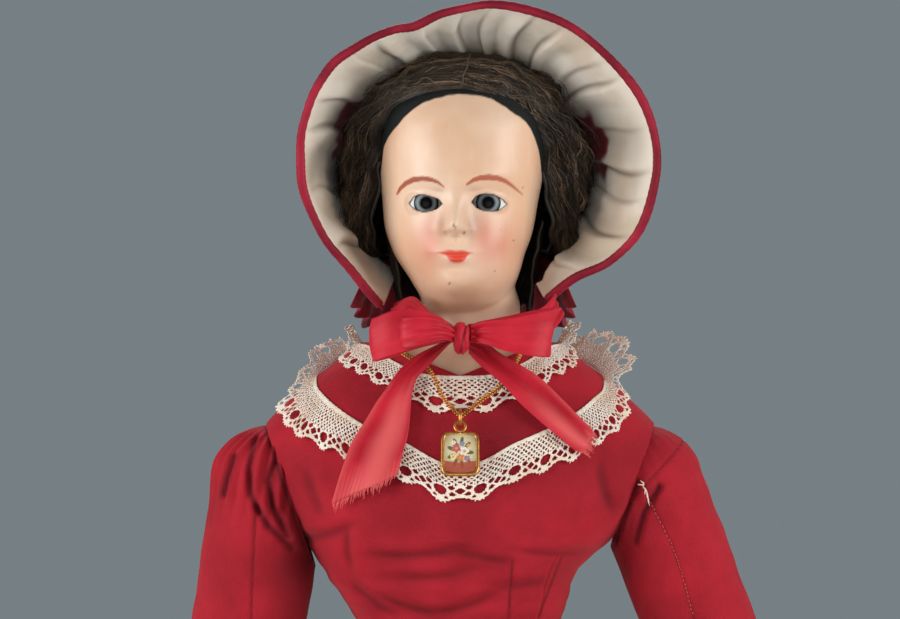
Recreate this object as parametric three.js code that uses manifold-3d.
// A papier-mache shoulder-head doll in a red dress, with a drawn silk bonnet tied under the chin.
// Millimetres, +Z up. The doll faces -Y and its own left hand is at +X.
// The origin lies on the floor, midway between the slippers.
import * as THREE from "three";
import { mergeVertices } from "three/addons/utils/BufferGeometryUtils.js";
import Module from "manifold-3d";

const wasm = await Module();
wasm.setup();

// Fits and cloth
const fitGap = 0.3;
const jointGap = 1.15;
const plateGap = 1.4;
const clothThickness = 1.2;
const laceThickness = 0.9;
const ribbonThickness = 0.8;

// Legs
const hipHeight = 330;
const kneeHeight = 172;
const ankleHeight = 36;
const hipSpacing = 56;
const hipBallRadius = 21;
const kneeBallRadius = 16;
const kneeCover = 5;
const ankleRadius = 9.5;
const footLength = 54;
const footWidth = 19;
const heelBehindAnkle = 19;
const soleThickness = 2.5;
const slipperThickness = 1.4;
const slipperHeight = 20;

// Trunk, heights above the waist
const hipToWaist = 56;
const hipHalfWidth = 51;
const hipHalfDepth = 38;
const waistHalfWidth = 38;
const waistHalfDepth = 30;
const bustAboveWaist = 53;
const bustHalfWidth = 70;
const bustHalfDepth = 42;
const shoulderAboveWaist = 79;
const shoulderHalfWidth = 80;
const shoulderHalfDepth = 36;
const slopeAboveWaist = 98;
const slopeHalfWidth = 64;
const slopeHalfDepth = 30;
const collarAboveWaist = 111;
const collarHalfWidth = 47;
const collarHalfDepth = 27;
const neckAboveWaist = 122;
const neckRingHalfWidth = 33;
const neckRingHalfDepth = 25;
const vNeckDepth = 13;
const buttonCount = 5;
const buttonRadius = 3.2;
const buttonThickness = 1.8;

// Skirt
const waistbandHeight = 9;
const waistbandThickness = 1.6;
const hemHeight = 10;
const hemRadius = 172;
const petticoatRise = 5;
const foldCount = 16;
const foldDepth = 6;

// Arms
const armAboveWaist = 60;
const armHalfSpan = 76;
const armSeamInset = 6;
const armSeamTilt = 18;
const rightArmSplay = 9;
const leftArmSplay = 20;
const forearmSplay = 20;
const upperArmLength = 98;
const forearmLength = 82;
const handLength = 46;
const sleeveTopRadius = 24;
const sleeveElbowRadius = 20;
const sleeveWristRadius = 13.5;
const armInSleeve = 3;
const elbowCover = 13;
const wristRadius = 8;
const palmHalfWidth = 9;
const palmHalfThickness = 5;
const fingerRadius = 2.3;
const cuffWidth = 9;

// Head, heights above the chin
const chinAboveWaist = 133;
const headHeight = 93;
const headHalfWidth = 36;
const faceDepth = 39;
const skullDepth = 46;
const headAxisBack = 2;
const neckRadius = 20;
const paperWall = 4.5;
const plateWall = 3;
const plateHalfWidth = 56;
const plateAboveWaist = 66;
const eyeAboveChin = 40;
const eyeSpacing = 26;
const eyeRadius = 8.5;
const eyeSlitWidth = 13.6;
const eyeSlitHeight = 7.6;
const eyeSetBack = 0.8;
const noseTipAboveChin = 30;
const noseLength = 17;
const noseForward = 8;
const noseHalfWidth = 5.5;
const mouthAboveChin = 18;
const mouthHalfWidth = 9;

// Wig
const hairHalfWidth = 46.5;
const hairOffset = 1.6;
const hairAboveHead = 6;
const partingOffset = 1;
const faceWindowHalfWidth = 31.5;
const hairlineAboveChin = 84;
const knotRadius = 19;

// Bonnet
const bonnetOffset = 5;
const bonnetBackHalfWidth = 57;
const bonnetBackHalfHeight = 53;
const bonnetBackAboveChin = 53;
const bonnetBackSetBack = 20;
const bonnetOpenAngle = 32;
const brimThickness = 1.6;
const liningThickness = 1.2;
const liningFoldDepth = 1.8;
const liningFolds = 18;
const rimCordRadius = 2;
const crownDepth = 46;
const crownTipRadius = 25;
const curtainDrop = 21;
const curtainFolds = 10;

// Bow, necklace and pendant
const knotHalfWidth = 6;
const knotHalfDepth = 4;
const knotHalfHeight = 7;
const knotBelowChin = 16;
const knotForward = 36;
const ribbonWidth = 17;
const chainRadius = 1.1;
const pendantWidth = 15.4;
const pendantHeight = 19;
const pendantThickness = 2.6;
const pendantRimWidth = 2;
const pendantRingRadius = 3;
const pendantWire = 0.7;
const eyeletRadius = 2.2;

// Levels that follow from the sizes above
const waistHeight = hipHeight + hipToWaist;
const chinHeight = waistHeight + chinAboveWaist;
const crownHeight = chinHeight + headHeight;
const eyeHeight = chinHeight + eyeAboveChin;
const pivotHeight = waistHeight + armAboveWaist;
const skirtTop = waistHeight - waistbandHeight / 2 - fitGap;
const bodiceTop = waistHeight + neckAboveWaist - 5;
const innerFit = clothThickness + fitGap;

const doll = new THREE.Group();
doll.name = "doll";

const material = (color, roughness = 0.8, metalness = 0) =>
  new THREE.MeshStandardMaterial({ color, roughness, metalness });
const redWool = material(0xa8243a);
const redSilk = material(0xc83a4c, 0.4);
const creamSilk = material(0xb8b0a0, 0.5);
const whiteCotton = material(0xe6e0d2);
const lace = material(0xd8c6b0);
const paintedPaper = material(0xd8b08c, 0.35);
const glass = material(0x30343a, 0.05);
const plaster = material(0xd9d4c8);
const hair = material(0x3a2c20);
const gold = material(0xb08040, 0.3, 1);
const enamel = material(0xa8b8b0, 0.3);
const kid = material(0xd8c4a8, 0.6);
const blackLeather = material(0x241c1a, 0.5);

const point = (x, y, z) => new THREE.Vector3(x, y, z);
const radians = THREE.MathUtils.degToRad;
const mix = THREE.MathUtils.lerp;

// Adds a named mesh to a group.
function addPiece(parent, name, geometry, look) {
  const mesh = new THREE.Mesh(geometry, look);
  mesh.name = name;
  parent.add(mesh);
}

// Bare indexed copy of a geometry with its faces turned out.
function closed(geometry) {
  const bare = new THREE.BufferGeometry();
  bare.setAttribute("position", geometry.getAttribute("position"));
  if (geometry.index) bare.setIndex(geometry.index);
  const merged = mergeVertices(bare, 1e-4);
  const at = (i) => new THREE.Vector3().fromBufferAttribute(merged.attributes.position, i);
  const corners = [];
  let volume = 0;
  for (let i = 0; i < merged.index.count; i += 3) {
    const [a, b, c] = [0, 1, 2].map((k) => merged.index.getX(i + k));
    if (a === b || b === c || a === c) continue;
    volume += at(a).dot(at(b).cross(at(c)));
    corners.push(a, b, c);
  }
  if (volume < 0) corners.reverse();
  merged.setIndex(corners);
  return merged;
}

// A geometry as a solid for joining and cutting.
function solid(geometry) {
  const bare = closed(geometry);
  const mesh = new wasm.Mesh({
    numProp: 3,
    vertProperties: new Float32Array(bare.attributes.position.array),
    triVerts: new Uint32Array(bare.index.array),
  });
  return new wasm.Manifold(mesh);
}

// A joined or cut solid as a geometry.
function shape(body) {
  const mesh = body.getMesh();
  const geometry = new THREE.BufferGeometry();
  geometry.setAttribute("position", new THREE.BufferAttribute(mesh.vertProperties, 3));
  geometry.setIndex(new THREE.BufferAttribute(mesh.triVerts, 1));
  return geometry;
}

// Joins loops of equal length into a closed surface, capped at both ends or run back into itself.
function loft(rings, endless = false) {
  const n = rings[0].length;
  const points = rings.flat();
  const faces = [];
  const spans = endless ? rings.length : rings.length - 1;
  for (let r = 0; r < spans; r++) {
    const next = (r + 1) % rings.length;
    for (let i = 0; i < n; i++) {
      const [a, b] = [r * n + i, r * n + ((i + 1) % n)];
      const [c, d] = [next * n + i, next * n + ((i + 1) % n)];
      faces.push(a, b, d, a, d, c);
    }
  }
  if (!endless) {
    for (const [r, turn] of [[0, 1], [rings.length - 1, 0]]) {
      const middle = rings[r].reduce((sum, p) => sum.add(p), point(0, 0, 0)).divideScalar(n);
      points.push(middle);
      for (let i = 0; i < n; i++) {
        const [a, b] = [r * n + i, r * n + ((i + 1) % n)];
        faces.push(points.length - 1, turn ? b : a, turn ? a : b);
      }
    }
  }
  const geometry = new THREE.BufferGeometry().setFromPoints(points);
  geometry.setIndex(faces);
  return closed(geometry);
}

// Open tube of cloth between an outer and an inner stack of rings.
const openTube = (outer, inner) => loft([...outer, ...inner.reverse()], true);

// Turned form about Z from [radius, height] pairs that start and end on the axis.
function turned(profile, segments = 12) {
  const points = profile.map(([r, h]) => new THREE.Vector2(r, h));
  return closed(new THREE.LatheGeometry(points, segments).rotateX(Math.PI / 2));
}

// Profile of a limb: a round top of the first radius, then [radius, height] pairs down to a flat end.
function limbProfile(topRadius, ...stations) {
  const dome = [];
  for (let i = 0; i < 4; i++) {
    const a = (Math.PI / 2) * (1 - i / 4);
    dome.push([topRadius * Math.cos(a), topRadius * Math.sin(a)]);
  }
  dome[0][0] = 0;
  return [...dome, ...stations, [0, stations.at(-1)[1]]];
}

const ball = (radius, x, y, z, segments = 12) =>
  closed(new THREE.SphereGeometry(radius, segments, segments / 2).rotateX(Math.PI / 2).translate(x, y, z));

const block = (x0, x1, y0, y1, z0, z1) =>
  solid(
    new THREE.BoxGeometry(x1 - x0, y1 - y0, z1 - z0).translate(
      (x0 + x1) / 2,
      (y0 + y1) / 2,
      (z0 + z1) / 2,
    ),
  );

// Smooth value of a table [level, ...values] at a level, one result for each value column.
function along(table, level) {
  let k = 0;
  while (k < table.length - 2 && level > table[k + 1][0]) k++;
  const [before, from, to, after] = [table[Math.max(k - 1, 0)], table[k], table[k + 1],
    table[Math.min(k + 2, table.length - 1)]];
  const step = to[0] - from[0];
  const u = (level - from[0]) / step;
  return from.slice(1).map((value, i) => {
    const c = i + 1;
    const m0 = ((to[c] - before[c]) / (to[0] - before[0])) * step;
    const m1 = ((after[c] - from[c]) / (after[0] - from[0])) * step;
    const [u2, u3] = [u * u, u * u * u];
    return (
      value * (2 * u3 - 3 * u2 + 1) + m0 * (u3 - 2 * u2 + u) + to[c] * (3 * u2 - 2 * u3) + m1 * (u3 - u2)
    );
  });
}

// Rounded section at a height: half width, front and back half depths, centre line, angles from the front.
function section(z, width, front, back, y, angles, power = 2.3) {
  return angles.map((a) => {
    const [s, c] = [Math.sin(a), Math.cos(a)];
    const depth = c > 0 ? front : back;
    return point(
      width * Math.sign(s) * Math.abs(s) ** (2 / power),
      y - depth * Math.sign(c) * Math.abs(c) ** (2 / power),
      z,
    );
  });
}

const evenAngles = (n) => Array.from({ length: n }, (_, i) => (2 * Math.PI * i) / n);
// Angles that crowd towards the front, where the face needs more points.
const faceAngles = (n) =>
  evenAngles(n).map((a) => a - 0.55 * Math.sin(a));
const bodyAngles = evenAngles(24);

// Trunk: height, half width, half depth, middle set back.
const trunkTable = [
  [hipHeight + 4, hipHalfWidth - 2, hipHalfDepth - 2, 0],
  [hipHeight + hipToWaist * 0.4, hipHalfWidth, hipHalfDepth, 0],
  [waistHeight - hipToWaist * 0.25, mix(waistHalfWidth, hipHalfWidth, 0.4), mix(waistHalfDepth, hipHalfDepth, 0.4), 0],
  [waistHeight, waistHalfWidth, waistHalfDepth, 0],
  [waistHeight + bustAboveWaist * 0.42, mix(waistHalfWidth, bustHalfWidth, 0.4), mix(waistHalfDepth, bustHalfDepth, 0.6), -1],
  [waistHeight + bustAboveWaist, bustHalfWidth, bustHalfDepth, -3],
  [waistHeight + shoulderAboveWaist, shoulderHalfWidth, shoulderHalfDepth, -1],
  [waistHeight + slopeAboveWaist, slopeHalfWidth, slopeHalfDepth, 1],
  [waistHeight + collarAboveWaist, collarHalfWidth, collarHalfDepth, 3],
  [waistHeight + neckAboveWaist, neckRingHalfWidth, neckRingHalfDepth, 4],
];
function trunkRing(z, grow, angles = bodyAngles) {
  const [width, depth, y] = along(trunkTable, z);
  return section(z, width + grow, depth + grow, depth + grow, y, angles);
}
function trunkPoint(angle, z, grow) {
  return trunkRing(z, grow, [radians(angle)])[0];
}
// All trunk pieces share these ring heights, so that their faces stay parallel.
const trunkLow = hipHeight + 4;
const trunkHigh = waistHeight + neckAboveWaist;
const trunkLevels = Array.from({ length: 13 }, (_, i) => mix(trunkLow, trunkHigh, i / 12));
function trunkSolid(from, to, grow) {
  return solid(loft(trunkLevels.map((z) => trunkRing(z, grow))))
    .subtract(block(-300, 300, -300, 300, from - 900, from))
    .subtract(block(-300, 300, -300, 300, to, to + 900));
}
// Front of the trunk at a place across and up, grown by an amount.
function chestY(x, z, grow) {
  const [width, depth, y] = along(trunkTable, z);
  const share = Math.min(Math.abs(x) / (width + grow), 1);
  return y - (depth + grow) * (1 - share ** 2.3) ** (1 / 2.3);
}

// Everything beyond an arm seam, where side is -1 for the doll's right and 1 for its left.
function beyondSeam(side, inset, frame = new THREE.Matrix4()) {
  const reach = 150;
  const box = new THREE.BoxGeometry(reach, reach, reach).translate(reach / 2 - inset, 0, 0);
  box.rotateY(side > 0 ? radians(armSeamTilt) : Math.PI - radians(armSeamTilt));
  box.translate(side * armHalfSpan, 0, pivotHeight);
  return solid(box.applyMatrix4(frame));
}
const bothSeams = (inset) => beyondSeam(-1, inset).add(beyondSeam(1, inset));

// Head: share of the head height above the chin, half width, face and back half depths.
const headTable = [
  [0, 0.47, 0.68, 0.52],
  [0.043, 0.54, 0.85, 0.57],
  [0.1, 0.635, 0.95, 0.63],
  [0.19, 0.745, 0.975, 0.72],
  [0.31, 0.835, 0.975, 0.82],
  [0.44, 0.915, 0.985, 0.91],
  [0.57, 0.975, 1.03, 0.98],
  [0.7, 1, 1, 1],
  [0.82, 0.93, 0.9, 0.92],
  [0.914, 0.72, 0.68, 0.73],
  [0.975, 0.42, 0.38, 0.43],
  [1, 0.16, 0.14, 0.16],
];
const bump = (x, z, x0, z0, wide, tall) =>
  Math.exp(-(((x - x0) / wide) ** 2) - ((z - z0) / tall) ** 2);

// How far the modelled face stands forward of the plain egg, at x across and z above the chin.
function faceRelief(x, z) {
  const rise = THREE.MathUtils.clamp((noseTipAboveChin + noseLength - z) / noseLength, 0, 1);
  const under = THREE.MathUtils.smoothstep(z, noseTipAboveChin - 4.5, noseTipAboveChin);
  const noseWidth = noseHalfWidth * (0.45 + 0.55 * rise);
  const nose = noseForward * rise ** 1.3 * under * Math.exp(-((x / noseWidth) ** 2));
  const sockets = [-1, 1].reduce(
    (sum, side) => sum + bump(x, z, (side * eyeSpacing) / 2, eyeAboveChin, eyeSlitWidth * 0.62, eyeSlitHeight),
    0,
  );
  const cheeks = [-1, 1].reduce((sum, side) => sum + bump(x, z, side * 17, mouthAboveChin + 8, 11, 11), 0);
  const lips =
    1.6 * bump(x, z, 0, mouthAboveChin + 2.2, mouthHalfWidth * 0.9, 2.2) +
    2 * bump(x, z, 0, mouthAboveChin - 2.6, mouthHalfWidth * 0.7, 2.4);
  const chin = 1.8 * bump(x, z, 0, mouthAboveChin - 10, 9, 5);
  return nose - 2.6 * sockets + 1.2 * cheeks + lips + chin;
}

function headRing(z, grow, angles, relief) {
  const up = (z - chinHeight) / headHeight;
  const [width, front, back] = along(headTable, up);
  const ring = section(
    z,
    width * headHalfWidth + grow,
    front * faceDepth + grow,
    back * skullDepth + grow,
    headAxisBack,
    angles,
    2.2,
  );
  for (const p of ring) if (relief && p.y < headAxisBack - 6) p.y -= faceRelief(p.x, z - chinHeight);
  return ring;
}

const plateBottom = waistHeight + plateAboveWaist;
const plateGrow = -clothThickness - plateGap;
// Rings of the whole shoulder head from the edge of the plate to the crown, grown by an amount.
function shoulderHeadRings(grow, plateGrow, angles, relief, faceSteps) {
  const plateTop = waistHeight + collarAboveWaist;
  const rings = [];
  for (let i = 0; i <= 4; i++) rings.push(trunkRing(mix(plateBottom, plateTop, i / 4), plateGrow, angles));
  const [collarWidth, collarDepth, collarY] = along(trunkTable, plateTop);
  const neckFoot = plateTop + 12;
  const neckTop = chinHeight - 3;
  for (const share of [0.35, 0.7]) {
    const ease = 1 - (1 - share) ** 2;
    rings.push(
      section(
        mix(plateTop, neckFoot, share),
        mix(collarWidth + plateGrow, neckRadius + grow, ease),
        mix(collarDepth + plateGrow, neckRadius + grow, ease),
        mix(collarDepth + plateGrow, neckRadius + grow, ease),
        mix(collarY, headAxisBack + 4, ease),
        angles,
      ),
    );
  }
  for (const share of [0, 0.6])
    rings.push(
      section(
        mix(neckFoot, neckTop, share), neckRadius + grow, neckRadius + grow, neckRadius + grow,
        headAxisBack + 4, angles,
      ),
    );
  for (let i = 0; i <= faceSteps; i++) {
    const z = chinHeight + headHeight * 0.62 * (i / faceSteps);
    rings.push(headRing(z, grow, angles, relief));
  }
  for (const share of [0.7, 0.79, 0.88, 0.94, 0.98, 1]) {
    const z = chinHeight + headHeight * share + (share > 0.97 ? Math.min(grow, 0) : 0);
    rings.push(headRing(z, Math.max(grow, -4), angles, relief));
  }
  return rings;
}

const headOuter = solid(loft(shoulderHeadRings(0, plateGrow, faceAngles(26), true, 15)));
const headClear = solid(loft(shoulderHeadRings(fitGap + 0.6, plateGrow, evenAngles(18), false, 4)));
const hollowRings = shoulderHeadRings(-paperWall, plateGrow - plateWall, faceAngles(16), false, 3);
hollowRings[0].forEach((p) => (p.z -= 2));
for (const ring of hollowRings.slice(-6)) ring.forEach((p) => (p.z -= paperWall));
const headHollow = solid(loft(hollowRings));

// Stuffed torso, with sockets for the thighs and a core that fills the breast plate.
const torsoTop = waistHeight + collarAboveWaist - 6;
const coreRings = shoulderHeadRings(
  -paperWall - fitGap, plateGrow - plateWall - fitGap, faceAngles(16), false, 3,
);
coreRings[0].forEach((p) => (p.z -= 2));
const core = solid(loft(coreRings)).subtract(block(-200, 200, -200, 200, torsoTop, crownHeight + 50));
const plateZone = block(
  -plateHalfWidth - fitGap, plateHalfWidth + fitGap, -90, 90, plateBottom - fitGap, crownHeight,
);
let torso = trunkSolid(trunkLow, torsoTop, -innerFit)
  .subtract(plateZone)
  .add(core)
  .subtract(bothSeams(armSeamInset + fitGap));
for (const side of [-1, 1])
  torso = torso.subtract(solid(ball(hipBallRadius + jointGap, (side * hipSpacing) / 2, 0, hipHeight)));
addPiece(doll, "torso", shape(torso), whiteCotton);

// Glass eyes, each behind an almond slit.
const eyeX = eyeSpacing / 2;
const eyeRing = headRing(eyeHeight, 0, [Math.asin((eyeX / headHalfWidth / 0.91) ** 1.1)], true)[0];
const eyeY = eyeRing.y + eyeSetBack + eyeRadius;
const almond = new THREE.Shape();
almond.moveTo(-eyeSlitWidth / 2, 0);
almond.quadraticCurveTo(0, eyeSlitHeight, eyeSlitWidth / 2, 0);
almond.quadraticCurveTo(0, -eyeSlitHeight, -eyeSlitWidth / 2, 0);
let shoulderHead = headOuter
  .subtract(headHollow)
  .subtract(block(-200, -plateHalfWidth, -100, 100, 0, bodiceTop))
  .subtract(block(plateHalfWidth, 200, -100, 100, 0, bodiceTop));
let eyePlaster = solid(
  new THREE.SphereGeometry(1, 10, 6)
    .scale(eyeX + eyeRadius + 5, eyeRadius * 0.9, eyeRadius + 2)
    .translate(0, eyeY + eyeRadius * 0.55, eyeHeight),
).intersect(solid(loft(shoulderHeadRings(-paperWall - fitGap, -20, faceAngles(16), false, 3))));
for (const [side, name] of [[-1, "right_eye"], [1, "left_eye"]]) {
  const slit = new THREE.ExtrudeGeometry(almond, { depth: 30, bevelEnabled: false, curveSegments: 6 });
  slit.rotateX(Math.PI / 2).translate(side * eyeX, eyeY, eyeHeight);
  const pocket = solid(ball(eyeRadius + fitGap, side * eyeX, eyeY, eyeHeight));
  shoulderHead = shoulderHead.subtract(solid(slit)).subtract(pocket);
  eyePlaster = eyePlaster.subtract(pocket);
  addPiece(doll, name, ball(eyeRadius, side * eyeX, eyeY, eyeHeight), glass);
}
addPiece(doll, "shoulder_head", shape(shoulderHead), paintedPaper);
addPiece(doll, "eye_plaster", shape(eyePlaster), plaster);

// Wig: a cap of hair round the skull with a window for the face, parted in the middle.
const hairTop = crownHeight + hairAboveHead;
const hairTable = [
  [0.1, 0.62, 0.36, 0.3],
  [0.17, 0.78, 0.46, 0.45],
  [0.26, 0.92, 0.58, 0.72],
  [0.42, 1, 0.7, 0.94],
  [0.6, 1, 0.82, 1],
  [0.74, 0.96, 0.88, 0.98],
  [0.87, 0.8, 0.8, 0.88],
  [0.95, 0.6, 0.66, 0.7],
  [1, 0.34, 0.34, 0.38],
];
const hairRings = [0.1, 0.17, 0.28, 0.44, 0.6, 0.74, 0.87, 0.95, 1].map((share) => {
  const [width, front, back] = along(hairTable, share);
  return section(
    mix(chinHeight, hairTop, share),
    width * hairHalfWidth,
    front * faceDepth,
    back * (skullDepth + 5),
    headAxisBack,
    evenAngles(18),
    2.1,
  ).map((p) => p.setX(p.x + hairOffset));
});
const faceWindow = new THREE.Shape();
const windowMiddle = hairlineAboveChin - faceWindowHalfWidth * 1.15;
faceWindow.moveTo(-faceWindowHalfWidth, -40);
faceWindow.lineTo(faceWindowHalfWidth, -40);
faceWindow.lineTo(faceWindowHalfWidth, windowMiddle);
faceWindow.absellipse(0, windowMiddle, faceWindowHalfWidth, faceWindowHalfWidth * 1.15, 0, Math.PI, false);
const windowCut = new THREE.ExtrudeGeometry(faceWindow, { depth: 80, bevelEnabled: false, curveSegments: 10 });
windowCut.rotateX(Math.PI / 2).translate(0, 6, chinHeight);
const wig = solid(loft(hairRings)).subtract(headClear).subtract(solid(windowCut));
addPiece(
  doll, "hair_right",
  shape(wig.subtract(block(-partingOffset - fitGap / 2, 150, -150, 150, chinHeight - 90, hairTop + 90))),
  hair,
);
addPiece(
  doll, "hair_left",
  shape(wig.subtract(block(-150, -partingOffset + fitGap / 2, -150, 150, chinHeight - 90, hairTop + 90))),
  hair,
);
const hairBack = headAxisBack + skullDepth + 5;
const knotOfHair = solid(
  new THREE.SphereGeometry(1, 14, 8)
    .scale(knotRadius, knotRadius * 0.5, knotRadius * 0.85)
    .translate(0, hairBack, chinHeight + headHeight * 0.62),
);
const hairClear = solid(
  loft(hairRings.map((ring) => ring.map((p) => point(p.x * 1.008, p.y + 0.4, p.z)))),
);
addPiece(doll, "hair_knot", shape(knotOfHair.subtract(hairClear)), hair);

// Bonnet: the rim as a line of points round the face, the doll's right lower corner first.
const rimLine = new THREE.CatmullRomCurve3(
  [
    [-35, -10, -4],
    [-51, -19, 8],
    [-66, -27, 31],
    [-70.5, -30, 58],
    [-63, -32, 86],
    [-43, -33, 105],
    [-27, -33, 110],
    [-1, -34, 120],
    [29, -34, 115],
    [53, -32, 99],
    [71, -30, 74],
    [76, -28, 48],
    [68, -24, 22],
    [45, -17, 5],
    [30, -8, -2],
  ].map(([x, y, z]) => point(x + bonnetOffset, y, z + chinHeight)),
);
const backMiddle = point(bonnetOffset - 3, bonnetBackSetBack, chinHeight + bonnetBackAboveChin);
const sweep = 180 - bonnetOpenAngle;
function backPoint(share) {
  const a = radians(mix(-sweep, sweep, share));
  return point(
    backMiddle.x + bonnetBackHalfWidth * Math.sin(a),
    backMiddle.y,
    backMiddle.z + bonnetBackHalfHeight * Math.cos(a),
  );
}
function tipPoint(share) {
  const a = radians(mix(-sweep, sweep, share));
  return point(
    backMiddle.x + crownTipRadius * Math.sin(a),
    backMiddle.y + crownDepth,
    backMiddle.z + 6 + crownTipRadius * Math.cos(a),
  );
}
// Moves a point towards the bonnet's axis.
function inward(p, amount) {
  const out = point(p.x - backMiddle.x, 0, p.z - backMiddle.z).normalize();
  return p.clone().addScaledVector(out, -amount);
}
function brimPoint(share, forward, depth) {
  const [from, to] = [backPoint(share), rimLine.getPoint(share)];
  const flare = forward ** 1.4;
  return inward(point(mix(from.x, to.x, flare), mix(from.y, to.y, forward), mix(from.z, to.z, flare)), depth);
}
// Band along the bonnet's horseshoe: outer and inner depth as functions of the share along it and across it.
function bonnetBand(steps, across, place, outerDepth, innerDepth) {
  const rings = [];
  for (let i = 0; i <= steps; i++) {
    const share = i / steps;
    const outer = across.map((s) => place(share, s, outerDepth(share, s)));
    const inner = across.map((s) => place(share, s, innerDepth(share, s))).reverse();
    rings.push([...outer, ...inner]);
  }
  return loft(rings);
}
const brimAcross = [0, 0.5, 1];
addPiece(
  doll, "bonnet_brim",
  bonnetBand(Math.round(liningFolds * 1.5), brimAcross, brimPoint, () => 0, () => brimThickness), redSilk,
);
const liningOuter = brimThickness + 3 * fitGap;
const liningWave = (share, s) =>
  liningThickness + liningFoldDepth * (1 - 0.7 * s) * (0.5 + 0.5 * Math.cos(2 * Math.PI * liningFolds * share));
addPiece(
  doll, "bonnet_lining",
  bonnetBand(
    Math.round(liningFolds * 1.5) * 2, [0.05, 0.5, 0.98], brimPoint,
    () => liningOuter,
    (share, s) => liningOuter + liningWave(share, s),
  ),
  creamSilk,
);
const cordPath = new THREE.CatmullRomCurve3(
  Array.from({ length: 41 }, (_, i) => {
    const p = brimPoint(mix(0.004, 0.996, i / 40), 1, brimThickness / 2);
    p.y -= rimCordRadius + 2 * fitGap;
    return p;
  }),
);
const circle = (radius) => new THREE.Shape().absarc(0, 0, radius, 0, 2 * Math.PI, false);
const cord = (path, radius, steps, segments = 3) =>
  closed(
    new THREE.ExtrudeGeometry(circle(radius), {
      steps, curveSegments: segments, bevelEnabled: false, extrudePath: path,
    }),
  );
addPiece(doll, "bonnet_rim_cord", cord(cordPath, rimCordRadius, 32), redSilk);

function crownPoint(share, back, depth) {
  const [from, to] = [backPoint(share), tipPoint(share)];
  const pull = back ** 2;
  const p = point(
    mix(from.x, to.x, pull),
    mix(from.y + fitGap, to.y, Math.sin((back * Math.PI) / 2)),
    mix(from.z, to.z, pull),
  );
  const moved = inward(p, depth * (1 - back ** 3));
  moved.y -= depth * back ** 3;
  return moved;
}
addPiece(
  doll, "bonnet_crown",
  bonnetBand(24, [0, 0.4, 0.75, 1], crownPoint, () => 0, () => brimThickness), redSilk,
);
const tipY = backMiddle.y + crownDepth;
const tipDisc = turned(
  [
    [0, -brimThickness],
    [crownTipRadius - fitGap, -brimThickness],
    [crownTipRadius - fitGap, 0],
    [crownTipRadius * 0.5, 2],
    [0, 2.6],
  ],
  18,
);
tipDisc.rotateX(-Math.PI / 2).translate(backMiddle.x, tipY, backMiddle.z + 6);
addPiece(doll, "bonnet_crown_tip", tipDisc, redSilk);

// Frilled curtain from one lower corner of the brim round the nape to the other.
const curtainTop = new THREE.CatmullRomCurve3(
  [
    [-35, -3, 0],
    [-33, 16, 4],
    [-33, 38, 6],
    [-23, 62, 17],
    [0, 72, 21],
    [23, 62, 17],
    [33, 38, 6],
    [33, 16, 4],
    [34, -3, 0],
  ].map(([x, y, z]) => point(x + backMiddle.x, y, z + chinHeight)),
);
function curtainPoint(share, down, depth) {
  const p = curtainTop.getPoint(share);
  const out = point(p.x - backMiddle.x, p.y - 20, 0).normalize();
  const wave = 3.4 * down * Math.cos(2 * Math.PI * curtainFolds * share);
  p.addScaledVector(out, 7 * down + wave - depth);
  p.z -= curtainDrop * down * mix(0.62, 1.25, Math.sin(Math.PI * share));
  return p;
}
addPiece(
  doll, "bonnet_curtain",
  bonnetBand(curtainFolds * 4, [0, 1], curtainPoint, () => 0, () => clothThickness), redSilk,
);

// Bodice: a front and two backs that button down the middle.
const bodiceBottom = waistHeight - waistbandHeight / 2 + 1;
const vNeck = new THREE.Shape();
vNeck.moveTo(0, bodiceTop - vNeckDepth);
vNeck.lineTo(collarHalfWidth, bodiceTop + 6);
vNeck.lineTo(-collarHalfWidth, bodiceTop + 6);
const vCut = new THREE.ExtrudeGeometry(vNeck, { depth: 100, bevelEnabled: false });
vCut.rotateX(Math.PI / 2);
const bodice = trunkSolid(bodiceBottom, bodiceTop, 0)
  .subtract(trunkSolid(bodiceBottom - 4, bodiceTop + 4, -clothThickness))
  .subtract(bothSeams(armSeamInset + fitGap / 2))
  .subtract(solid(vCut));
const sideSeam = 4;
const backHalf = bodice.subtract(block(-150, 150, -150, sideSeam + fitGap / 2, 0, 900));
const bodicePieces = {
  bodice_front: bodice.subtract(block(-150, 150, sideSeam - fitGap / 2, 150, 0, 900)),
  bodice_back_right: backHalf.subtract(block(-fitGap / 2, 150, -150, 150, 0, 900)),
  bodice_back_left: backHalf.subtract(block(-150, fitGap / 2, -150, 150, 0, 900)),
};
for (const [name, body] of Object.entries(bodicePieces)) addPiece(doll, name, shape(body), redWool);
for (let i = 0; i < buttonCount; i++) {
  const z = mix(bodiceBottom + waistbandHeight + 6, bodiceTop - 48, i / (buttonCount - 1));
  const [low, high] = [trunkPoint(180, z - buttonRadius, 0).y, trunkPoint(180, z + buttonRadius, 0).y];
  const lean = Math.atan2(high - low, 2 * buttonRadius);
  const disc = turned([
    [0, 0],
    [buttonRadius, 0],
    [buttonRadius, buttonThickness * 0.6],
    [buttonRadius * 0.6, buttonThickness],
    [0, buttonThickness],
  ], 14);
  disc.rotateX(-Math.PI / 2 - lean).translate(0, trunkPoint(180, z, 2 * fitGap).y, z);
  addPiece(doll, `back_button_${i + 1}`, disc, redSilk);
}
const [bandLow, bandHigh] = [waistHeight - waistbandHeight / 2, waistHeight + waistbandHeight / 2];
const waistband = trunkSolid(bandLow, bandHigh, fitGap + waistbandThickness).subtract(
  trunkSolid(bandLow - 2, bandHigh + 2, fitGap),
);
addPiece(doll, "waistband", shape(waistband), redWool);

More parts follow.
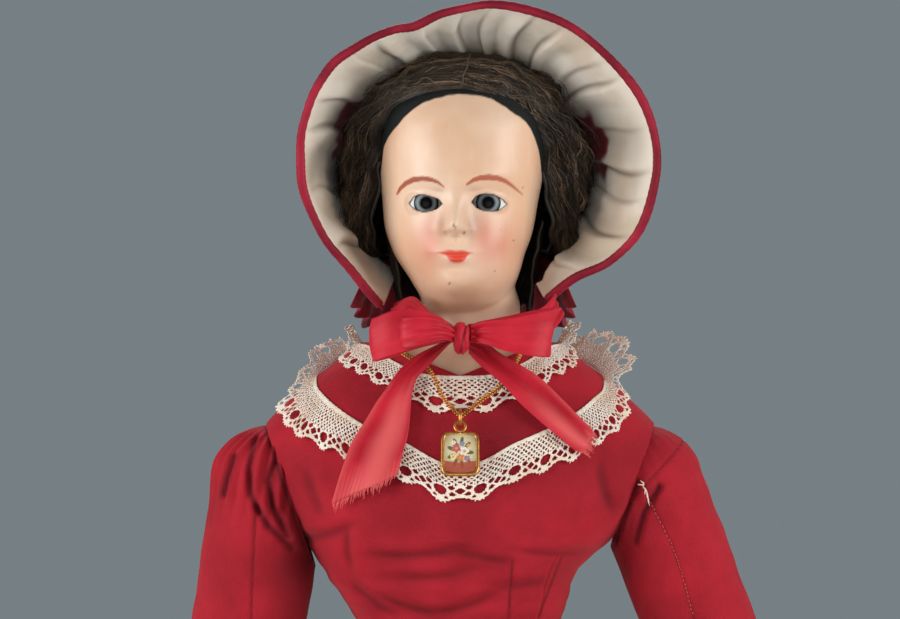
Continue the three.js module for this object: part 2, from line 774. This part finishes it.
// Skirt and petticoat: share 0 at the top edge, 1 at the hem.
const skirtAngles = evenAngles(foldCount * 4);
const skirtGrow = 4.8;
const foldAt = (share) => mix(0.3, foldDepth, share);
function skirtRing(share, side, wavy, angles) {
  const swell = share ** 0.75;
  const z = mix(skirtTop, hemHeight, share);
  const [width, depth] = [mix(waistHalfWidth + skirtGrow, hemRadius, swell), mix(waistHalfDepth + skirtGrow, hemRadius, swell)];
  return angles.map((a) => {
    const wave = wavy ? foldAt(share) * Math.cos(foldCount * a) : -foldAt(share);
    const grow = wave + side;
    return point((width + grow) * Math.cos(a), (depth + grow) * Math.sin(a), z);
  });
}
const skirtShares = [0, 0.03, 0.12, 0.35, 0.65, 1];
addPiece(
  doll, "skirt",
  openTube(
    skirtShares.map((share) => skirtRing(share, clothThickness / 2, true, skirtAngles)),
    skirtShares.map((share) => skirtRing(share, -clothThickness / 2, true, skirtAngles)),
  ),
  redWool,
);
const petticoatLow = 1 - petticoatRise / (skirtTop - hemHeight);
const petticoatShares = [0, 0.03, 0.12, 0.35, 0.65, petticoatLow];
const petticoatOut = -clothThickness / 2 - fitGap;
function petticoatRings(side) {
  const rings = petticoatShares.map((share) => skirtRing(share, side, false, evenAngles(28)));
  rings[0].forEach((p) => (p.z -= 1.5));
  return rings;
}
addPiece(
  doll, "petticoat",
  openTube(petticoatRings(petticoatOut), petticoatRings(petticoatOut - clothThickness)),
  whiteCotton,
);

// Lace bands that lie on the bodice: heights of the sewn edge by angle from the front.
const laceTables = {
  neck_lace: [
    [0, 104, 15, 0.5], [13, 105, 12, 0.6], [26, 109, 9, 1.2], [47, 113, 6, 3], [90, 114.5, 3, 9],
    [120, 114, 6, 6], [150, 112, 10, 2.5], [180, 111, 12, 1],
  ],
  bertha_lace: [
    [0, 69, 15, 0.4], [13, 78, 16, 0.6], [26, 85, 16.5, 0.8], [36, 90, 16, 1.2], [60, 99, 14, 4], [90, 105, 9, 10],
    [120, 103, 13, 5], [150, 97, 15, 1.5], [180, 94, 15, 0.6],
  ],
};
function laceBand(table, scallops) {
  const steps = scallops * 2;
  const rings = [];
  for (let i = 0; i < steps; i++) {
    const angle = (360 * i) / steps;
    const [sewn, drop, stand] = along(table, angle > 180 ? 360 - angle : angle);
    const scallop = 1 - 0.12 * (i % 2);
    const low = fitGap + 0.2;
    const edge = (z, grow) => trunkPoint(angle, waistHeight + z, grow);
    const [top, foot] = [edge(sewn, low), edge(sewn - drop * scallop, low + stand)];
    const [topOut, footOut] = [edge(sewn, low + laceThickness), edge(sewn - drop * scallop, low + stand + laceThickness)];
    const middle = edge(sewn - drop * scallop * 0.5, low + stand * 0.4);
    const middleOut = edge(sewn - drop * scallop * 0.5, low + stand * 0.4 + laceThickness);
    rings.push([top, middle, foot, footOut, middleOut, topOut]);
  }
  return loft(rings, true);
}
addPiece(doll, "neck_lace", laceBand(laceTables.neck_lace, 18), lace);
addPiece(doll, "bertha_lace", laceBand(laceTables.bertha_lace, 24), lace);

// Ribbon: a strip along a line of points, each with its width and the way its width runs.
function ribbonStrip(stations, steps) {
  const line = new THREE.CatmullRomCurve3(stations.map((s) => point(...s.at)));
  const widths = new THREE.CatmullRomCurve3(stations.map((s) => point(s.width, 0, 0)));
  const ways = new THREE.CatmullRomCurve3(stations.map((s) => point(...s.way)));
  const rings = [];
  for (let i = 0; i <= steps; i++) {
    const share = i / steps;
    const p = line.getPoint(share);
    const half = ways.getPoint(share).normalize().multiplyScalar(widths.getPoint(share).x / 2);
    const face = half.clone().cross(line.getTangent(share)).normalize().multiplyScalar(ribbonThickness / 2);
    rings.push([
      p.clone().add(half).add(face),
      p.clone().sub(half).add(face),
      p.clone().sub(half).sub(face),
      p.clone().add(half).sub(face),
    ]);
  }
  return loft(rings);
}
const bowHeight = chinHeight - knotBelowChin;
const bowX = -1;
addPiece(
  doll, "ribbon_knot",
  closed(
    new THREE.SphereGeometry(1, 10, 8)
      .scale(knotHalfWidth, knotHalfDepth, knotHalfHeight)
      .translate(bowX, -knotForward, bowHeight),
  ),
  redSilk,
);
// Places a ribbon station beside the knot: sideways out from it, forward of it and above it.
const besideKnot = (side, out, forward, up, width, way = [0, 0, 1]) => ({
  at: [bowX + side * (knotHalfWidth + out), -knotForward - forward, bowHeight + up],
  width,
  way,
});
for (const [side, name, reach] of [[-1, "right", 27], [1, "left", 24]]) {
  const loop = [
    besideKnot(side, 0.6, 1.2, 1, ribbonWidth * 0.4),
    besideKnot(side, reach * 0.4, 6, 1.5, ribbonWidth * 0.9),
    besideKnot(side, reach * 0.8, 6, 1.5, ribbonWidth),
    besideKnot(side, reach, 2, 1.5, ribbonWidth),
    besideKnot(side, reach * 0.75, -1.5, 1, ribbonWidth),
    besideKnot(side, reach * 0.35, -2, 0.5, ribbonWidth * 0.7),
    besideKnot(side, 0.6, -1.4, 0, ribbonWidth * 0.4),
  ];
  addPiece(doll, `ribbon_loop_${name}`, ribbonStrip(loop, 20), redSilk);
  const corner = rimLine.getPoint(side < 0 ? 0 : 1);
  const tie = [
    besideKnot(side, -2, -knotHalfDepth - 1.4, 2, ribbonWidth * 0.45, [0, 0.3, 1]),
    besideKnot(side, 10, -knotHalfDepth - 5, 5, ribbonWidth * 0.8, [0, 0.3, 1]),
    {
      at: [corner.x - side * 2.2, corner.y + 2, corner.z - 5],
      width: 11,
      way: [side * 0.2, 0.5, 1],
    },
  ];
  addPiece(doll, `ribbon_tie_${name}`, ribbonStrip(tie, 10), redSilk);
}
// Tails hang from the knot over the lace, widening to the frayed ends.
// Each station: across, below the knot, lift off the chest, width, and the way the width runs in the front view.
function tail(stations, steps) {
  const places = new THREE.CatmullRomCurve3(stations.map(([x, below, lift]) => point(x, bowHeight - below, lift)));
  const widths = new THREE.CatmullRomCurve3(stations.map(([, , , width, turn]) => point(width, turn, 0)));
  const rings = [];
  for (let i = 0; i <= steps; i++) {
    const { x, y: z, z: lift } = places.getPoint(i / steps);
    const { x: width, y: turn } = widths.getPoint(i / steps);
    const [c, s] = [(Math.cos(radians(turn)) * width) / 2, (Math.sin(radians(turn)) * width) / 2];
    const corner = (side, grow) => point(x + side * c, chestY(x + side * c, z + side * s, grow), z + side * s);
    rings.push([
      corner(1, lift + ribbonThickness), corner(-1, lift + ribbonThickness), corner(-1, lift), corner(1, lift),
    ]);
  }
  return loft(rings);
}
addPiece(
  doll, "ribbon_tail_right",
  tail(
    [
      [-8.5, 6.5, 8.4, 8, 0], [-16.5, 9.5, 7.4, 10, 0], [-21.8, 14.5, 6.8, 10.5, 0], [-25.5, 21.5, 6.2, 13, 0],
      [-28.8, 31, 5.5, 17.6, 0], [-33.5, 43.5, 5.3, 24, 0], [-37, 57, 5.3, 25, 0],
    ],
    14,
  ),
  redSilk,
);
addPiece(
  doll, "ribbon_tail_left",
  tail(
    [
      [4, 12.5, 12, 6, -90], [12, 14.5, 8, 10, -90], [21.6, 17.5, 6.6, 13, -90],
      [34.4, 25, 5.5, 15.5, -90], [47, 37, 5.5, 14, -90], [52, 42, 5.5, 8, -90],
    ],
    14,
  ),
  redSilk,
);

// Bead necklace and a pendant that swings from its ring.
const ringHeight = waistHeight + 88;
const chainLift = 5.9;
const chainLow = chestY(0, ringHeight, chainLift);
const chainStation = (x, up) => [x, chestY(x, ringHeight + up, chainLift - 1), ringHeight + up];
const chainPath = new THREE.CatmullRomCurve3(
  [
    [0, chainLow, ringHeight],
    chainStation(-7, 8),
    chainStation(-12, 18),
    chainStation(-24, 26),
    [-31, -10, ringHeight + 33.5],
    [-29.5, 8, ringHeight + 37],
    [-18, 28, ringHeight + 38],
    [0, 34, ringHeight + 38],
    [18, 28, ringHeight + 38],
    [29.5, 8, ringHeight + 37],
    [31, -9, ringHeight + 31.6],
    [31.8, -16.5, ringHeight + 29.6],
    chainStation(25, 26),
    chainStation(18, 14),
    chainStation(9, 7),
  ].map(([x, y, z]) => point(x, y, z)),
  true,
);
addPiece(doll, "necklace_chain", cord(chainPath, chainRadius, 28), gold);

// The pendant's group stands on the chain and leans with the chest.
const ringDrop = pendantRingRadius - pendantWire - chainRadius - 2 * fitGap;
const eyeletDrop = ringDrop + pendantRingRadius + eyeletRadius - 2 * pendantWire - fitGap;
const frameTop = -eyeletDrop - eyeletRadius;
const pendant = new THREE.Group();
pendant.name = "pendant";
pendant.position.set(0, chainLow, ringHeight);
const pendantLow = ringHeight + frameTop - pendantHeight;
pendant.rotation.x = -Math.atan2(chainLow - chestY(0, pendantLow, chainLift + 1.5), ringHeight - pendantLow);
const wireRing = new THREE.TorusGeometry(pendantRingRadius, pendantWire, 5, 14)
  .rotateY(Math.PI / 2)
  .translate(0, 0, -ringDrop);
addPiece(pendant, "pendant_ring", closed(wireRing), gold);
const roundedBox = (width, height, corner) => {
  const outline = new THREE.Shape();
  const [w, h] = [width / 2, height / 2];
  outline.moveTo(-w + corner, -h);
  outline.lineTo(w - corner, -h).absarc(w - corner, -h + corner, corner, -Math.PI / 2, 0, false);
  outline.lineTo(w, h - corner).absarc(w - corner, h - corner, corner, 0, Math.PI / 2, false);
  outline.lineTo(-w + corner, h).absarc(-w + corner, h - corner, corner, Math.PI / 2, Math.PI, false);
  outline.lineTo(-w, -h + corner).absarc(-w + corner, -h + corner, corner, Math.PI, 1.5 * Math.PI, false);
  return outline;
};
// Upright slab with rounded corners, its back face at a distance behind the pendant's middle plane.
const slab = (width, height, corner, depth, back) =>
  new THREE.ExtrudeGeometry(roundedBox(width, height, corner), { depth, bevelEnabled: false, curveSegments: 2 })
    .rotateX(Math.PI / 2)
    .translate(0, back, frameTop - pendantHeight / 2);
const inside = [pendantWidth - 2 * pendantRimWidth, pendantHeight - 2 * pendantRimWidth];
const half = pendantThickness / 2;
const eyelet = new THREE.TorusGeometry(eyeletRadius, pendantWire, 5, 10).rotateX(Math.PI / 2).translate(0, 0, -eyeletDrop);
const pendantFrame = solid(slab(pendantWidth, pendantHeight, 3.5, pendantThickness, half))
  .subtract(solid(slab(inside[0], inside[1], 2.4, pendantThickness, half * 0.3)))
  .add(solid(eyelet));
addPiece(pendant, "pendant_frame", shape(pendantFrame), gold);
const plaque = slab(inside[0] - 2 * fitGap, inside[1] - 2 * fitGap, 2.2, pendantThickness * 0.4, half * 0.3 - fitGap);
addPiece(pendant, "pendant_plaque", closed(plaque), enamel);
doll.add(pendant);

// Arms: the group of an upper arm stands at its shoulder with -Z along the arm, the forearm's at its elbow.
const upperSleeve = [
  [sleeveTopRadius, 0],
  [sleeveTopRadius - 0.5, -upperArmLength * 0.3],
  [sleeveElbowRadius + 2.4, -upperArmLength * 0.58],
  [sleeveElbowRadius + 0.8, -upperArmLength + elbowCover],
];
const shrink = (profile, amount) => profile.map(([r, h]) => [r - amount, h]);
for (const [side, name, splay] of [[-1, "right", rightArmSplay], [1, "left", leftArmSplay]]) {
  const upper = new THREE.Group();
  upper.name = `${name}_arm`;
  upper.position.set(side * armHalfSpan, 0, pivotHeight);
  upper.rotation.y = -side * radians(splay);
  upper.updateMatrix();
  const toArm = upper.matrix.clone().invert();
  const keep = beyondSeam(side, armSeamInset, toArm);
  const elbowBall = (radius) => solid(ball(radius, 0, 0, -upperArmLength));
  const armFit = clothThickness + fitGap;
  const below = [sleeveElbowRadius, -upperArmLength - 40];
  const sleeve = solid(turned(limbProfile(sleeveTopRadius, ...upperSleeve)))
    .subtract(
      solid(turned(limbProfile(sleeveTopRadius - clothThickness, ...shrink(upperSleeve, clothThickness), below))),
    )
    .intersect(keep)
    .subtract(elbowBall(sleeveElbowRadius + jointGap));
  addPiece(upper, `${name}_sleeve_upper`, shape(sleeve), redWool);
  const armStations = shrink(upperSleeve, armFit);
  const arm = solid(turned(limbProfile(sleeveTopRadius - armFit, ...armStations)))
    .intersect(keep)
    .subtract(elbowBall(sleeveElbowRadius + jointGap + fitGap));
  addPiece(upper, `${name}_upper_arm`, shape(arm), whiteCotton);

  const lower = new THREE.Group();
  lower.name = `${name}_forearm_group`;
  lower.position.z = -upperArmLength;
  lower.rotation.y = -side * radians(forearmSplay - splay);
  const lowerSleeve = [
    [sleeveElbowRadius, 0],
    [sleeveElbowRadius - 0.6, -forearmLength * 0.3],
    [mix(sleeveElbowRadius, sleeveWristRadius, 0.6), -forearmLength * 0.7],
    [sleeveWristRadius, -forearmLength],
  ];
  const openEnd = [sleeveWristRadius - clothThickness, -forearmLength - 20];
  const lowerTube = solid(turned(limbProfile(sleeveElbowRadius, ...lowerSleeve))).subtract(
    solid(
      turned(limbProfile(sleeveElbowRadius - clothThickness, ...shrink(lowerSleeve, clothThickness), openEnd)),
    ),
  );
  addPiece(lower, `${name}_sleeve_lower`, shape(lowerTube), redWool);
  const cuffOut = sleeveWristRadius + fitGap + 1.6 + cuffWidth * 0.08;
  const cuffRing = (radius, z) => evenAngles(14).map((a) => point(radius * Math.cos(a), radius * Math.sin(a), z));
  const cuffInner = sleeveWristRadius + cuffWidth * 0.1 + 2 * fitGap;
  addPiece(
    lower, `${name}_cuff`,
    openTube(
      [cuffRing(cuffOut + 0.8, -forearmLength + cuffWidth), cuffRing(cuffOut + 0.8, -forearmLength - 1)],
      [cuffRing(cuffInner, -forearmLength + cuffWidth), cuffRing(cuffInner, -forearmLength - 1)],
    ),
    redWool,
  );
  const bone = sleeveElbowRadius - clothThickness - fitGap;
  let hand = solid(
    turned(
      limbProfile(
        bone,
        [bone, 0],
        [bone - armInSleeve, -forearmLength * 0.35],
        [wristRadius + 1.5, -forearmLength * 0.85],
        [wristRadius, -forearmLength - 4],
      ),
    ),
  );
  const palmLength = handLength * 0.52;
  const palm = new THREE.SphereGeometry(1, 8, 6)
    .scale(palmHalfThickness, palmHalfWidth, palmLength * 0.62)
    .translate(0, 0, -forearmLength - palmLength * 0.5);
  hand = hand.add(solid(palm));
  const finger = (length, place, tilt, roll) =>
    solid(
      new THREE.CapsuleGeometry(fingerRadius, length, 1, 6)
        .rotateX(Math.PI / 2)
        .translate(0, 0, -length / 2)
        .rotateX(tilt)
        .rotateY(roll)
        .translate(...place),
    );
  for (let i = 0; i < 4; i++) {
    const across = mix(-0.7, 0.7, i / 3) * palmHalfWidth;
    const length = handLength * [0.36, 0.43, 0.42, 0.34][i];
    hand = hand.add(
      finger(length, [0, across, -forearmLength - palmLength * 0.86], -across * 0.012, side * 0.05),
    );
  }
  hand = hand.add(
    finger(handLength * 0.32, [-side, -palmHalfWidth * 0.6, -forearmLength - palmLength * 0.35], 0.55, side * 0.25),
  );
  addPiece(lower, `${name}_forearm`, shape(hand), kid);
  upper.add(lower);
  doll.add(upper);
}

// Legs: the thigh's group stands at the hip and the lower leg's at the knee.
const thighLength = hipHeight - kneeHeight;
const footMiddle = heelBehindAnkle - footLength / 2;
// Foot outline at a height above the floor, grown all round.
const footRings = (grow, levels) =>
  levels.map((z) => {
    const rise = (z - soleThickness) / (ankleHeight - soleThickness);
    const length = mix(footLength / 2, ankleRadius, THREE.MathUtils.smoothstep(rise, 0.1, 1)) + grow;
    const width = mix(footWidth / 2, ankleRadius, rise) * (1 - 0.12 * Math.sin(Math.PI * rise)) + grow;
    const y = mix(footMiddle, 0, THREE.MathUtils.smoothstep(rise, 0.1, 1));
    return section(z - kneeHeight, width, length, length, y, evenAngles(14), 2.4);
  });
for (const [side, name] of [[-1, "right"], [1, "left"]]) {
  const thighGroup = new THREE.Group();
  thighGroup.name = `${name}_leg`;
  thighGroup.position.set((side * hipSpacing) / 2, 0, hipHeight);
  const thigh = solid(
    turned(
      limbProfile(
        hipBallRadius,
        [hipBallRadius, 0],
        [hipBallRadius - 0.5, -thighLength * 0.3],
        [mix(hipBallRadius, kneeBallRadius, 0.35), -thighLength + kneeCover],
      ),
    ),
  ).subtract(solid(ball(kneeBallRadius + jointGap, 0, 0, -thighLength)));
  addPiece(thighGroup, `${name}_thigh`, shape(thigh), whiteCotton);

  const shinGroup = new THREE.Group();
  shinGroup.name = `${name}_lower_leg`;
  shinGroup.position.z = -thighLength;
  const shinLength = kneeHeight - ankleHeight;
  const footBottom = soleThickness + fitGap + slipperThickness + fitGap;
  const footLevels = [footBottom, 9, 16, 26, ankleHeight];
  const shin = solid(
    turned(
      limbProfile(
        kneeBallRadius,
        [kneeBallRadius, 0],
        [kneeBallRadius - 1.2, -12],
        [kneeBallRadius - 0.4, -shinLength * 0.35],
        [mix(kneeBallRadius, ankleRadius, 0.6), -shinLength * 0.7],
        [ankleRadius, -shinLength - 2],
      ),
    ),
  ).add(solid(loft(footRings(0, footLevels))));
  addPiece(shinGroup, `${name}_shin`, shape(shin), whiteCotton);
  const slipperBottom = soleThickness + fitGap;
  const slipperLevels = [slipperBottom, 9, 16, slipperHeight];
  const slipper = solid(loft(footRings(fitGap + slipperThickness, slipperLevels))).subtract(
    solid(loft(footRings(fitGap, [footBottom - fitGap, 9, 16, 26, ankleHeight]))),
  );
  addPiece(shinGroup, `${name}_slipper`, shape(slipper), blackLeather);
  addPiece(
    shinGroup, `${name}_sole`,
    loft([0, 1].map((top) => footRings(slipperThickness, [soleThickness])[0].map((p) =>
      point(p.x, p.y, top * soleThickness - kneeHeight)))),
    blackLeather,
  );
  thighGroup.add(shinGroup);
  doll.add(thighGroup);
}

export default doll;
